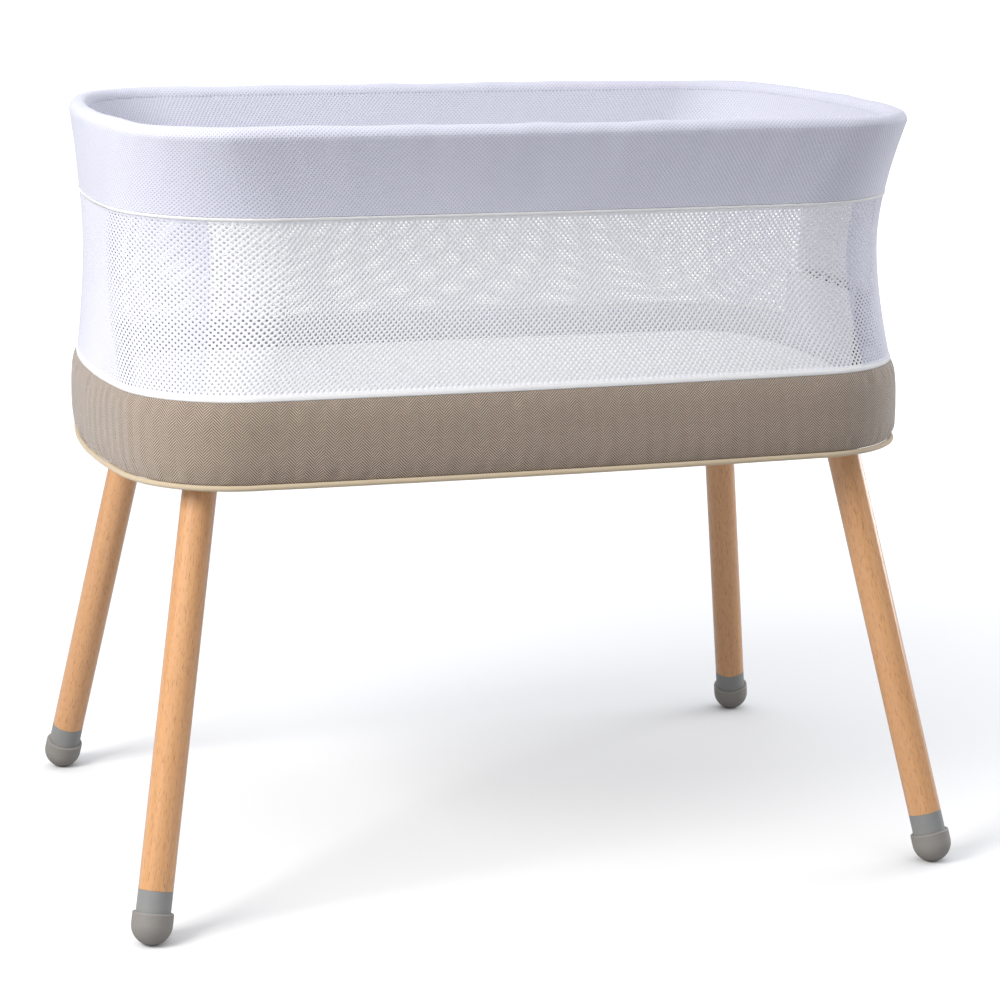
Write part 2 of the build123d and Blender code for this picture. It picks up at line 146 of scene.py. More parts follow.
def arc_lengths(size):
    _, _, _, _, end_angle, side_angle = arc_angles(size)
    return np.array([
        END_RADIUS * end_angle,
        size[2] * (side_angle - end_angle),
        SIDE_RADIUS * (math.pi / 2 - side_angle),
    ])


LENGTHS = arc_lengths(SKIRT_HEAD)
GIRTH = 4 * LENGTHS.sum()
END_SHARE = LENGTHS[0] / LENGTHS.sum()
CORNER_SHARE = (LENGTHS[0] + LENGTHS[1]) / LENGTHS.sum()


def outline(loop, size, inset):
    """Points and outward directions at shares of the loop, from the right end anticlockwise."""
    loop, size = np.asarray(loop, float), np.asarray(size, float)
    quarter = np.floor(loop * 4)
    share = loop * 4 - quarter
    quarter = quarter % 4
    share = np.where(quarter % 2 == 1, 1 - share, share)
    flip_x = np.where((quarter == 1) | (quarter == 2), -1.0, 1.0)
    flip_y = np.where(quarter >= 2, -1.0, 1.0)
    side, end, middle_x, middle_y, end_angle, side_angle = arc_angles(size)
    at_end = share < END_SHARE
    at_side = share >= CORNER_SHARE
    corner_share = (share - END_SHARE) / (CORNER_SHARE - END_SHARE)
    angle = end_angle + corner_share * (side_angle - end_angle)
    angle = np.where(at_end, share / END_SHARE * end_angle, angle)
    side_share = (share - CORNER_SHARE) / (1 - CORNER_SHARE)
    angle = np.where(at_side, side_angle + side_share * (math.pi / 2 - side_angle), angle)
    centre_x = np.where(at_end, end, np.where(at_side, 0.0, middle_x))
    centre_y = np.where(at_end, 0.0, np.where(at_side, side, middle_y))
    radius = np.where(at_end, END_RADIUS, np.where(at_side, SIDE_RADIUS, size[..., 2])) - inset
    x = flip_x * (centre_x + radius * np.cos(angle))
    y = flip_y * (centre_y + radius * np.sin(angle))
    return x, y, flip_x * np.cos(angle), flip_y * np.sin(angle)


def wall_size(z):
    """The wall is narrowest at the waist, because the taut net pulls inwards between its hems."""
    z = np.asarray(z, float)[..., None]
    low = np.clip((WAIST_Z - z) / (WAIST_Z - SKIRT_HEAD_Z), 0, None) ** 1.8
    high = np.clip((z - WAIST_Z) / (RIM_Z - WAIST_Z), 0, None) ** 1.8
    return WAIST + low * (SKIRT_HEAD - WAIST) + high * (RIM - WAIST)


print("girth of the basket", round(GIRTH, 3), "m")

# %% [markdown]
# ## Sewing a ring
# Skirt, band, hem, tape and piping are all rings: one cross-section carried round the basket. The
# cross-section is a list of points, each with a height, a distance in from the outline, and the
# outline it belongs to. Carrying it round gives a grid of four-sided faces. We also write down, as
# a texture map in metres, how far along the cloth and how far up the cloth each corner lies. Weaves
# are drawn from that map, so that a column of herringbone stays as wide as it was on the roll.

# %% Ring and sheet builder
CLOTH_MAP = "cloth"


def new_piece(name, points, faces, corner_maps, material, smooth=True):
    mesh = bpy.data.meshes.new(name)
    mesh.from_pydata(points.tolist(), [], faces)
    layer = mesh.uv_layers.new(name=CLOTH_MAP)
    layer.data.foreach_set("uv", np.asarray(corner_maps, np.float32).ravel())
    mesh.polygons.foreach_set("use_smooth", np.full(len(mesh.polygons), smooth))
    mesh.materials.append(material)
    mesh.update()
    piece = bpy.data.objects.new(name, mesh)
    bpy.context.scene.collection.objects.link(piece)
    return piece


def ring(name, material, section, steps, closed=True, span=(0.0, 1.0), wave=None):
    """section is (sizes, insets, heights); span is the part of the loop; wave pushes points outwards."""
    sizes, insets, heights = section
    rows = len(heights)
    whole = span == (0.0, 1.0)
    columns = steps if whole else steps + 1
    loop = span[0] + (span[1] - span[0]) * np.arange(columns) / steps
    grid_loop = np.repeat(loop[:, None], rows, 1)
    grid_sizes = np.broadcast_to(sizes, (columns, rows, 3))
    push = wave(grid_loop, heights) if wave else np.zeros_like(grid_loop)
    x, y, _, _ = outline(grid_loop, grid_sizes, insets - push)
    z = np.broadcast_to(heights, x.shape)
    points = np.stack([x, y, z], -1).reshape(-1, 3)

    step = np.hypot(np.diff(insets - sizes[:, 1]), np.diff(heights))
    climb = np.concatenate([[0], np.cumsum(step)])
    closing = math.hypot(insets[0] - insets[-1], heights[0] - heights[-1])
    i = np.arange(steps if whole else columns - 1)[:, None]
    j = np.arange(rows if closed else rows - 1)[None, :]
    i_next, j_next = (i + 1) % columns, (j + 1) % rows
    corners = [(i, j), (i_next, j), (i_next, j_next), (i, j_next)]
    faces = np.stack([(a * rows + b) + 0 * (i + j) for a, b in corners], -1).reshape(-1, 4)
    left = (span[0] + (span[1] - span[0]) * i / steps) * GIRTH + 0 * j
    right = (span[0] + (span[1] - span[0]) * (i + 1) / steps) * GIRTH + 0 * j
    low = climb[j] + 0 * i
    high = np.where(j + 1 < rows, climb[j_next], climb[-1] + closing) + 0 * i
    pairs = ((left, low), (right, low), (right, high), (left, high))
    maps = np.stack([np.stack(pair, -1) for pair in pairs], 2)
    maps = maps.reshape(-1, 2)
    if not whole:
        # a strip that stops short of the full loop gets both its cut ends closed
        j = np.arange(rows // 2 - 1)
        cap = np.stack([j, j + 1, rows - 2 - j, rows - 1 - j], -1)
        faces = np.concatenate([faces, cap, cap[:, ::-1] + (columns - 1) * rows])
        maps = np.concatenate([maps, np.zeros((8 * len(cap), 2))])
    return new_piece(name, points, faces.tolist(), maps, material)


def loop_reach(half_width, size, inset):
    """Share of the loop, either side of an end's middle, that spans a width across the basket."""
    loops = np.linspace(0, 0.25, 2001)
    _, y, _, _ = outline(loops, size, inset)
    return float(np.interp(half_width, y, loops))


CREASE = 0.0002


def belt(low, high, outer, inner, rows=2, sizes_at=wall_size):
    """The closed cross-section of a strip of even thickness between two heights."""
    # a row close to each edge keeps smooth shading from rounding the edge off
    up = np.sort(np.concatenate([np.linspace(low, high, rows), [low + CREASE, high - CREASE]]))
    heights = np.concatenate([up, up[::-1]])
    insets = np.concatenate([np.full(len(up), outer), np.full(len(up), inner)])
    return sizes_at(heights), insets, heights


def swell(seed, sizes, strength):
    """A few slow waves round the loop, so that no sewn edge is ruler-straight."""
    draw = np.random.default_rng(seed)
    phases = draw.uniform(0, 2 * math.pi, len(sizes))

    def at(loop):
        return strength * sum(np.sin(2 * math.pi * n * loop + p) for n, p in zip(sizes, phases)) / len(sizes)

    return at

# %% [markdown]
# ## Writing a material as a recipe
# A shader is easier to read as sums than as a drawing of boxes. The class below wraps one output of
# a node; adding or multiplying two of them places a Math node. Anything that is not plain
# arithmetic comes from one method, `node`, which takes the kind of node, its settings and its
# inputs. Each finish further down is then a short recipe.

# %% Shader arithmetic


class Signal:
    """One value that varies over a surface."""

    def __init__(self, recipe, socket):
        self.recipe, self.socket = recipe, socket

    def maths(self, operation, *values):
        return self.recipe.node("ShaderNodeMath", {"operation": operation}, dict(enumerate(values)))

    def __add__(self, other):
        return self.maths("ADD", self, other)

    def __radd__(self, other):
        return self.maths("ADD", other, self)

    def __sub__(self, other):
        return self.maths("SUBTRACT", self, other)

    def __rsub__(self, other):
        return self.maths("SUBTRACT", other, self)

    def __mul__(self, other):
        return self.maths("MULTIPLY", self, other)

    def __rmul__(self, other):
        return self.maths("MULTIPLY", other, self)

    def __truediv__(self, other):
        return self.maths("DIVIDE", self, other)

    def __pow__(self, other):
        return self.maths("POWER", self, other)

    def fraction(self):
        return self.maths("FRACT", self)

    def whole(self):
        return self.maths("FLOOR", self)

    def size(self):
        return self.maths("ABSOLUTE", self)

    def wave(self):
        """A sine that runs once from 0 to 1 and back for each whole step of the value."""
        return self.maths("SINE", self * (2 * math.pi)) * 0.5 + 0.5

    def cosine(self):
        """A cosine, from -1 to 1, that comes round once for each whole step of the value."""
        return self.maths("COSINE", self * (2 * math.pi))

    def above(self, edge, blur):
        """0 below an edge and 1 above it, with a soft step."""
        settings = {"interpolation_type": "SMOOTHSTEP"}
        places = {"Value": self, "From Min": edge - blur, "From Max": edge + blur}
        return self.recipe.node("ShaderNodeMapRange", settings, places)


def paint(red, green, blue):
    """A colour as it is seen, 0 to 255, turned into the amounts of light that Blender mixes."""
    seen = [v / 255 for v in (red, green, blue)]
    return tuple(v / 12.92 if v < 0.04045 else ((v + 0.055) / 1.055) ** 2.4 for v in seen) + (1.0,)


class Recipe:
    """A material in the making: a Principled shader and the nodes that feed it."""

    def __init__(self, name, roughness, **constants):
        self.material = bpy.data.materials.new(name)
        self.material.use_nodes = True
        self.tree = self.material.node_tree
        self.shader = self.tree.nodes["Principled BSDF"]
        self.set("Roughness", roughness)
        for words, value in constants.items():
            self.set(words.replace("_", " ").title().replace("Ior", "IOR"), value)

    def put(self, socket, value):
        if isinstance(value, Signal):
            self.tree.links.new(value.socket, socket)
        else:
            socket.default_value = value

    def set(self, name, value):
        self.put(self.shader.inputs[name], value)

    def node(self, kind, settings, inputs, output=0):
        made = self.tree.nodes.new(kind)
        for name, value in settings.items():
            setattr(made, name, value)
        for name, value in inputs.items():
            self.put(made.inputs[name], value)
        return Signal(self, made.outputs[output])

    def split(self, vector):
        made = self.node("ShaderNodeSeparateXYZ", {}, {"Vector": vector}).socket.node
        return [Signal(self, made.outputs[axis]) for axis in "XYZ"]

    def cloth_place(self):
        """Metres along the cloth and metres up the cloth."""
        along, up, _ = self.split(self.node("ShaderNodeUVMap", {"uv_map": CLOTH_MAP}, {}))
        return along, up

    def body_place(self):
        return self.node("ShaderNodeTexCoord", {}, {}, "Object")

    def vector(self, x, y, z):
        return self.node("ShaderNodeCombineXYZ", {}, {"X": x, "Y": y, "Z": z})

    def stretch(self, vector, factors):
        return self.node("ShaderNodeVectorMath", {"operation": "MULTIPLY"}, {0: vector, 1: factors})

    def noise(self, vector, scale, detail=2.0, roughness=0.5):
        inputs = {"Vector": vector, "Scale": scale, "Detail": detail, "Roughness": roughness}
        return self.node("ShaderNodeTexNoise", {}, inputs)

    def mix(self, share, first, second):
        """Two colours mixed by a share from 0 to 1."""
        inputs = {0: share, 6: first, 7: second}
        return self.node("ShaderNodeMix", {"data_type": "RGBA"}, inputs, 2)

    def bump(self, height, depth, strength=1.0):
        """Relief of a height from 0 to 1, as deep as depth in metres."""
        inputs = {"Height": height, "Distance": depth, "Strength": strength}
        self.set("Normal", self.node("ShaderNodeBump", {}, inputs))


print("recipes are ready")

# %% [markdown]
# ## White meshes
# The band is a spacer mesh: two knitted faces held apart by springy threads, with a dimple wherever
# the knitting machine skips. Multiplying a cosine along the cloth by a cosine up the cloth gives
# rows of dimples where each row is shifted by half a step, as they are on the real cloth. Inside
# the dimples a darker colour is painted as shade, and the same value drives the relief.

# %% Spacer mesh and net
DIMPLE_COLUMNS = 560
DIMPLE_PITCH = GIRTH / DIMPLE_COLUMNS
DIMPLE_ROW = 0.0044


def spacer_mesh():
    recipe = Recipe("spacer_mesh", 0.78, sheen_weight=0.25, sheen_roughness=0.4)
    along, up = recipe.cloth_place()
    across = (along * (1 / DIMPLE_PITCH)).cosine()
    upward = (up * (1 / DIMPLE_ROW)).cosine()
    lattice = across * upward * 0.5 + 0.5
    dimple = lattice.above(0.70, 0.22)
    yarn = recipe.noise(recipe.vector(along * 900, up * 2600, 0.0), 1.0)
    patches = recipe.noise(recipe.vector(along * 9, up * 9, 3.0), 1.0)
    face = recipe.mix(patches, paint(214, 215, 228), paint(225, 225, 235))
    knit = recipe.mix(yarn * 0.3, face, paint(206, 207, 222))
    # the darker, bluer colour inside the dimples is painted shade
    recipe.set("Base Color", recipe.mix(dimple, knit, paint(192, 193, 210)))
    recipe.bump(1.0 - dimple * 0.8 + yarn * 0.15, 0.00035)
    return recipe.material


def net_cloth(name, face, groove):
    recipe = Recipe(name, 0.7, sheen_weight=0.2)
    along, up = recipe.cloth_place()
    stitches = (along * 900 + up * 500).wave()
    fuzz = recipe.noise(recipe.vector(along * 1500, up * 1500, 0.0), 1.0)
    recipe.set("Base Color", recipe.mix(stitches * 0.5, face, groove))
    recipe.bump(stitches * 0.6 + fuzz * 0.4, 0.00025)
    return recipe.material


def white_tape():
    recipe = Recipe("white_tape", 0.75, sheen_weight=0.2)
    along, up = recipe.cloth_place()
    ribs = (along * 1250).wave()
    twill = (along * 500 + up * 700).wave()
    recipe.set("Base Color", recipe.mix(ribs * 0.4, paint(244, 243, 242), paint(216, 216, 220)))
    recipe.bump(ribs * 0.6 + twill * 0.4, 0.0003)
    return recipe.material


def lining_cloth():
    recipe = Recipe("lining_cloth", 0.8, sheen_weight=0.2)
    along, up = recipe.cloth_place()
    weave = (along * 1400).wave() * (up * 1400).wave()
    folds = recipe.noise(recipe.vector(along * 14, up * 20, 1.0), 1.0)
    # the colour is a little darker in the hollows of the folds: painted shade
    recipe.set("Base Color", recipe.mix(folds, paint(198, 199, 213), paint(210, 211, 223)))
    recipe.bump(weave * 0.3 + folds * 0.7, 0.0012)
    return recipe.material


SPACER_MESH = spacer_mesh()
NET_CLOTH = net_cloth("net_cloth", paint(250, 250, 252), paint(236, 236, 241))
# the ends get a dimmer copy of the same net cloth: painted shade that holds down the lamp's light on the end
# walls
SHADED_END_NET_CLOTH = net_cloth("shaded_end_net_cloth", paint(226, 226, 238), paint(212, 212, 226))
WHITE_TAPE = white_tape()
LINING_CLOTH = lining_cloth()
print("dimples", round(DIMPLE_PITCH * 1000, 2), "mm apart")

# %% [markdown]
# ## Herringbone
# Herringbone is a twill whose diagonal changes direction at every column. A triangle wave along the
# cloth leans the lines one way and then the other; adding the height up the cloth turns it into
# rising stripes. At each turn the real weave jumps by half a stripe, which is what separates
# herringbone from a plain zigzag, so every second column is shifted by half a stripe.

# %% Herringbone, piping, sheet and dust cloth
HERRING_COLUMNS = 262
HERRING_PITCH = GIRTH / HERRING_COLUMNS
STRIPE_RISE = 0.0029


def herringbone():
    recipe = Recipe("herringbone_cloth", 0.85, sheen_weight=0.5, sheen_roughness=0.5)
    along, up = recipe.cloth_place()
    column = along * (1 / HERRING_PITCH)
    pair = (column * 0.5).fraction()
    lean = (pair * 2.0 - 1.0).size()
    odd = pair.above(0.5, 0.001)
    wander = recipe.noise(recipe.vector(along * 60, up * 60, 0.0), 1.0) * 0.2
    stripe = (up * (1 / STRIPE_RISE) + lean * (HERRING_PITCH / STRIPE_RISE) + odd * 0.5 + wander).wave()
    thread = stripe.above(0.5, 0.35)
    yarn = recipe.noise(recipe.vector(along * 1100, up * 1100, 0.0), 1.0, 3.0)
    slub = recipe.noise(recipe.vector(along * 90, up * 400, 5.0), 1.0)
    dark = recipe.mix(yarn, paint(88, 72, 60), paint(108, 90, 77))
    light = recipe.mix(slub, paint(180, 161, 142), paint(208, 190, 171))
    recipe.set("Base Color", recipe.mix(thread, dark, light))
    recipe.bump(thread * 0.6 + yarn * 0.4, 0.0006)
    return recipe.material


def piping_cloth():
    recipe = Recipe("piping_cloth", 0.8, sheen_weight=0.3)
    along, up = recipe.cloth_place()
    twill = (along * 800 + up * 800).wave()
    fuzz = recipe.noise(recipe.vector(along * 700, up * 700, 0.0), 1.0)
    recipe.set("Base Color", recipe.mix(twill * 0.5 + fuzz * 0.3, paint(218, 200, 170), paint(184, 164, 134)))
    recipe.bump(twill * 0.6 + fuzz * 0.4, 0.0003)
    return recipe.material


def sheet_cloth():
    recipe = Recipe("sheet_cloth", 0.85, sheen_weight=0.25)
    place = recipe.body_place()
    x, y, z = recipe.split(place)
    ribs = (x * 900).wave() * (y * 900).wave()
    folds = recipe.noise(place, 9.0, 2.0)
    # the sheet is a little darker in the hollows of its folds: painted shade
    recipe.set("Base Color", recipe.mix(folds, paint(240, 239, 240), paint(248, 247, 247)))
    recipe.bump(ribs * 0.05 + folds * 0.95, 0.004)
    return recipe.material


def dust_cloth():
    recipe = Recipe("dust_cloth", 0.9)
    place = recipe.body_place()
    fibres = recipe.noise(recipe.stretch(place, (260, 900, 260)), 1.0, 4.0)
    x, y, _ = recipe.split(place)
    bonds = ((x + y) * 350).wave() * ((x - y) * 350).wave()
    recipe.set("Base Color", recipe.mix(fibres, paint(196, 193, 188), paint(222, 219, 214)))
    recipe.bump(fibres * 0.4 - bonds * 0.4, 0.0003)
    return recipe.material


HERRINGBONE = herringbone()
PIPING_CLOTH = piping_cloth()
SHEET_CLOTH = sheet_cloth()
DUST_CLOTH = dust_cloth()
print("herringbone columns", round(HERRING_PITCH * 1000, 2), "mm wide")

# %% [markdown]
# ## Beech, board, plastic and metal
# Beech shows short brown flecks that run with the grain, under a clear glossy lacquer. The grain has
# to follow each leg, and the four legs lean four ways. So for each leg we measure how far a point
# lies along the leg's own axis, and squeeze the noise in that direction only.

# %% Wood
LEG_FOOT = (0.429, 0.290)
LEG_HEAD = (0.349, 0.1785, 0.4425)


def along_axis(recipe, axis, cross_scale, axis_scale):
    """Pattern coordinates that are stretched along one direction of the body."""
    place = recipe.body_place()
    along = recipe.node("ShaderNodeVectorMath", {"operation": "DOT_PRODUCT"}, {0: place, 1: axis}, 1)
    wide = recipe.stretch(place, (cross_scale,) * 3)
    inputs = {0: along * (axis_scale - cross_scale), 1: axis, 2: wide}
    return recipe.node("ShaderNodeVectorMath", {"operation": "MULTIPLY_ADD"}, inputs)


def beech(name, axis):
    recipe = Recipe(name, 0.38, coat_roughness=0.08, coat_ior=1.5)
    fleck = recipe.noise(along_axis(recipe, axis, 1300, 110), 1.0, 2.0).above(0.62, 0.05)
    grain = recipe.noise(along_axis(recipe, axis, 170, 6), 1.0, 4.0, 0.6)
    board = recipe.noise(along_axis(recipe, axis, 40, 2), 1.0, 2.0)
    wood = recipe.mix(grain, paint(204, 145, 93), paint(235, 184, 132))
    toned = recipe.mix(board * 0.5, wood, paint(212, 154, 104))
    recipe.set("Base Color", recipe.mix(fleck * 0.5, toned, paint(142, 90, 52)))
    recipe.set("Roughness", 0.32 + grain * 0.12)
    recipe.set("Coat Weight", 0.75)
    recipe.bump(grain * 0.7 + fleck * 0.3, 0.0001)
    return recipe.material


def plywood():
    recipe = Recipe("plywood", 0.6)
    place = recipe.body_place()
    _, _, z = recipe.split(place)
    grain = recipe.noise(recipe.stretch(place, (6, 160, 160)), 1.0, 4.0)
    plies = (z * (1 / 0.003)).wave().above(0.5, 0.1)
    face = recipe.mix(grain, paint(196, 162, 118), paint(226, 198, 156))
    recipe.set("Base Color", recipe.mix(plies * 0.25, face, paint(150, 112, 74)))
    recipe.bump(grain, 0.0002)
    return recipe.material


def hardboard():
    recipe = Recipe("hardboard", 0.7)
    fibres = recipe.noise(recipe.body_place(), 700.0, 4.0, 0.7)
    recipe.set("Base Color", recipe.mix(fibres, paint(112, 78, 52), paint(150, 110, 76)))
    recipe.bump(fibres, 0.0002)
    return recipe.material


PLYWOOD = plywood()
HARDBOARD = hardboard()

# %% [markdown]
# ## Moulded and metal parts
# Moulded plastic is never one flat colour either: the mould leaves a fine even texture, and handling
# leaves slightly shinier patches. Plated screws show the grey patchwork of zinc. One recipe makes
# them all, from two close colours, the size of the texture and how deep it is.

# %% Plastic, rubber and metal


def moulded(name, low, high, roughness, grain=1400.0, depth=0.00006, metallic=0.0):
    recipe = Recipe(name, roughness, metallic=metallic)
    place = recipe.body_place()
    fine = recipe.noise(place, grain, 3.0)
    wear = recipe.noise(place, 45.0, 4.0, 0.6)
    recipe.set("Base Color", recipe.mix(wear * 0.7 + fine * 0.3, low, high))
    recipe.set("Roughness", roughness - 0.08 + wear * 0.16)
    recipe.bump(fine, depth)
    return recipe.material


FERRULE_PLASTIC = moulded("ferrule_plastic", paint(132, 132, 131), paint(152, 152, 150), 0.42)
FOOT_RUBBER = moulded("foot_rubber", paint(130, 126, 121), paint(154, 149, 143), 0.55, 900.0, 0.0001)
SOCKET_PLASTIC = moulded("socket_plastic", paint(44, 44, 46), paint(62, 62, 64), 0.5)
BRACKET_PLASTIC = moulded("bracket_plastic", paint(52, 52, 56), paint(72, 72, 76), 0.5)
WHITE_TUBE = moulded("white_tube", paint(226, 226, 226), paint(240, 240, 240), 0.35, 500.0, 0.00008)
ZINC_STEEL = moulded("zinc_steel", paint(168, 170, 174), paint(200, 202, 206), 0.32, 300.0, 0.00004, 1.0)
BRASS = moulded("brass", paint(180, 146, 84), paint(208, 176, 108), 0.3, 300.0, 0.00004, 1.0)
print("finishes", len(bpy.data.materials))

# %% [markdown]
# ## Finishing the fixed pieces
# The wooden, plastic and metal pieces already have their true shape. They keep it, and we only put
# the finish into their material slots.

# %% Finish the fixed pieces
CORNERS = {"front_left": (-1, -1), "front_right": (1, -1), "rear_left": (-1, 1), "rear_right": (1, 1)}


finished = set()


def finish_node(name, material):
    finished.add(name)
    piece = nodes[name]
    for place in piece.material_slots:
        place.material = material


def leg_axis(flip_x, flip_y):
    foot = Vector((flip_x * LEG_FOOT[0], flip_y * LEG_FOOT[1], 0))
    head = Vector((flip_x * LEG_HEAD[0], flip_y * LEG_HEAD[1], LEG_HEAD[2]))
    return tuple((head - foot).normalized())


for corner, flips in CORNERS.items():
    finish_node("leg_" + corner, beech("beech_" + corner, leg_axis(*flips)))
    finish_node("ferrule_" + corner, FERRULE_PLASTIC)
    finish_node("foot_cup_" + corner, FOOT_RUBBER)
    finish_node("leg_socket_" + corner, SOCKET_PLASTIC)
    finish_node("hanger_bolt_" + corner, ZINC_STEEL)
    finish_node("upright_" + corner, WHITE_TUBE)
for end in ("left", "right"):
    finish_node("rim_tube_" + end, WHITE_TUBE)
    finish_node("end_bracket_" + end, BRACKET_PLASTIC)
for screws in ("tray_screws", "bracket_screws", "socket_screws", "rim_tube_plugs"):
    finish_node(screws, ZINC_STEEL)
finish_node("threaded_inserts", BRASS)
finish_node("base_board", PLYWOOD)
finish_node("tray_wall", HARDBOARD)
finish_node("mattress_board", HARDBOARD)
print("finished", len(finished), "fixed pieces")

# %% [markdown]
# ## The net wall
# The wall is a warp-knitted net whose holes stand in rows, each shifted by half a step. We could
# fake the holes with transparency, but real holes catch light on their edges and throw a true
# shadow on the mattress. The sheet is divided into diamonds, and each diamond is a frame of eight
# faces round an eight-sided hole. Neighbouring diamonds share their corners, so corners are named
# by whole numbers, which lets us find the shared ones exactly.

# %% Net cells
NET_LOW = 0.5346
NET_HIGH = 0.7045
NET_COLUMNS = 400
NET_PITCH = GIRTH / NET_COLUMNS
NET_ROWS = 2 * round((NET_HIGH - NET_LOW) / NET_PITCH)
HOLE_RADII = {"right": 0.00098, "back": 0.00082, "left": 0.00098, "front": 0.00118}
NET_SUNK = 0.0011
DIAMOND = np.array([(2, 0), (1, 1), (0, 2), (-1, 1), (-2, 0), (-1, -1), (0, -2), (1, -1)])


def net_place(loop, z, inset):
    x, y, _, _ = outline(loop, wall_size(z), inset)
    return np.stack([x, y, z], -1)


def net_wall(name, first, last, hole, material):
    """A panel of net between two columns of the lattice, with holes of a given radius."""
    row_height = (NET_HIGH - NET_LOW) / NET_ROWS
    rows, columns = np.meshgrid(np.arange(NET_ROWS + 1), np.arange(first, last), indexing="ij")
    centres = np.stack([4 * columns + 2 * (rows % 2), 2 * rows], -1).reshape(-1, 2)
    rows = rows.ravel()
    whole = centres[(rows > 0) & (rows < NET_ROWS)]
    corners = whole[:, None, :] + DIAMOND
    foot = centres[rows == 0][:, None, :] + DIAMOND[:5]
    head = centres[rows == NET_ROWS][:, None, :] + DIAMOND[[4, 5, 6, 7, 0]]
    every = np.concatenate([corners.reshape(-1, 2), foot.reshape(-1, 2), head.reshape(-1, 2)])
    knots, numbers = np.unique(every, axis=0, return_inverse=True)
    numbers = numbers.ravel()

    turn = np.arange(8) * math.pi / 4
    knot_loop = knots[:, 0] / (4 * NET_COLUMNS)
    knot_z = NET_LOW + knots[:, 1] * row_height / 2
    hole_loop = whole[:, :1] / (4 * NET_COLUMNS) + hole / GIRTH * np.cos(turn)
    hole_z = NET_LOW + whole[:, 1:] * row_height / 2 + hole * np.sin(turn)
    loops = np.concatenate([knot_loop, hole_loop.ravel()])
    heights = np.concatenate([knot_z, hole_z.ravel()])
    insets = np.concatenate([np.full(len(knots), 0.0003), np.full(hole_z.size, NET_SUNK)])
    points = net_place(loops, heights, insets)

    outer = numbers[:len(whole) * 8].reshape(-1, 8)
    inner = len(knots) + np.arange(len(whole) * 8).reshape(-1, 8)
    frames = np.stack([outer, np.roll(outer, -1, 1), np.roll(inner, -1, 1), inner], -1).reshape(-1, 4)
    edges = numbers[len(whole) * 8:].reshape(-1, 5)
    faces = frames.tolist() + edges.tolist()
    order = np.concatenate([frames.ravel(), edges.ravel()])
    maps = np.stack([loops[order] * GIRTH, heights[order] - NET_LOW], -1)
    return new_piece(name, points, faces, maps, material)


def side_loop(seam_x):
    """Share of the loop at which the back wall reaches a given distance from the middle."""
    loops = np.linspace(0, 0.25, 2001)
    x, _, _, _ = outline(loops, WAIST, 0.0)
    return float(np.interp(-seam_x, -x, loops))


SEAM_X = 0.340
CORNER_COLUMN = round(side_loop(SEAM_X) * NET_COLUMNS)
HALF_WAY = NET_COLUMNS // 2
NET_SPANS = {
    "right": (-CORNER_COLUMN, CORNER_COLUMN),
    "back": (CORNER_COLUMN, HALF_WAY - CORNER_COLUMN),
    "left": (HALF_WAY - CORNER_COLUMN, HALF_WAY + CORNER_COLUMN),
    "front": (HALF_WAY + CORNER_COLUMN, NET_COLUMNS - CORNER_COLUMN),
}
for wall, span in NET_SPANS.items():
    hole = HOLE_RADII[wall]
    # the two end walls take the dimmer net, which is painted shade
    cloth = SHADED_END_NET_CLOTH if wall in ("left", "right") else NET_CLOTH
    net = net_wall("net_panel_" + wall, *span, hole, cloth)
    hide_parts("net_" + wall)
    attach(net, "base")
    cut = ((span[1] - span[0]) * NET_PITCH, NET_HIGH - NET_LOW)
    holed = cut[0] * cut[1] * (1 - 2 * math.sqrt(2) * hole**2 / (NET_PITCH**2 / 2))
    print(net.name, len(net.data.polygons), "faces", [round(v, 3) for v in cut], "m")

# %% [markdown]
# ## Tape, hem and piping
# Three narrow trims hide the raw edges: a white tape over the foot of the net, a white hem under the
# band, and a cream welt, which is a cord wrapped in cloth, round the bottom of the skirt. Each is a
# ring with a rounded cross-section. A slow wave of a fraction of a millimetre keeps them hand-sewn.

# %% Trims
TRIM_STEPS = 480


def rounded_strip(low, high, outer, inner, rows=7):
    """A strip whose outer face swells a little between its sewn edges."""
    share = np.linspace(0, 1, rows)
    outward = outer + (inner - outer) * 0.45 * (2 * share - 1) ** 4
    heights = low + (high - low) * share
    both_heights = np.concatenate([heights, heights[::-1]])
    insets = np.concatenate([outward, np.full(rows, inner)])
    return wall_size(both_heights), insets, both_heights


def along_edge(seed, strength):
    drift = swell(seed, (7, 19, 43, 88), strength)
    return lambda loop, heights: drift(loop)


def belongs(piece, slot, *replaced, body="base"):
    """The bookkeeping that every new piece needs: what it stands for and what it rides on; the finish name it
    is given is not used.
    """
    if replaced:
        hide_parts(*replaced)
    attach(piece, body)
    return piece


TAPE_LOW, TAPE_HIGH = 0.5297, 0.5345
HEM_LOW, HEM_HIGH = 0.7046, 0.7085
tape = ring("net_binding_tape", WHITE_TAPE, rounded_strip(TAPE_LOW, TAPE_HIGH, -0.0009, 0.0012),
            TRIM_STEPS, wave=along_edge(3, 0.00035))
belongs(tape, "white_tape", "net_binding")
hem = ring("band_hem_tape", WHITE_TAPE, rounded_strip(HEM_LOW, HEM_HIGH, -0.0009, 0.0025),
           TRIM_STEPS, wave=along_edge(4, 0.00035))
belongs(hem, "white_tape", "band_hem")

PIPING_RADIUS = 0.0029
PIPING_PROUD = 0.0012
PIPING_Z = 0.4454
turns = np.linspace(0, 2 * math.pi, 14, endpoint=False) - math.pi / 2
cord_section = (
    np.broadcast_to(SKIRT_FOOT, (14, 3)),
    -PIPING_PROUD - PIPING_RADIUS * np.cos(turns),
    PIPING_Z + PIPING_RADIUS * np.sin(turns),
)
piping = ring("welt_piping", PIPING_CLOTH, cord_section, TRIM_STEPS, wave=along_edge(5, 0.0004))
belongs(piping, "piping_cloth", "skirt_piping")
print("trims", len(tape.data.polygons) + len(hem.data.polygons) + len(piping.data.polygons), "faces")

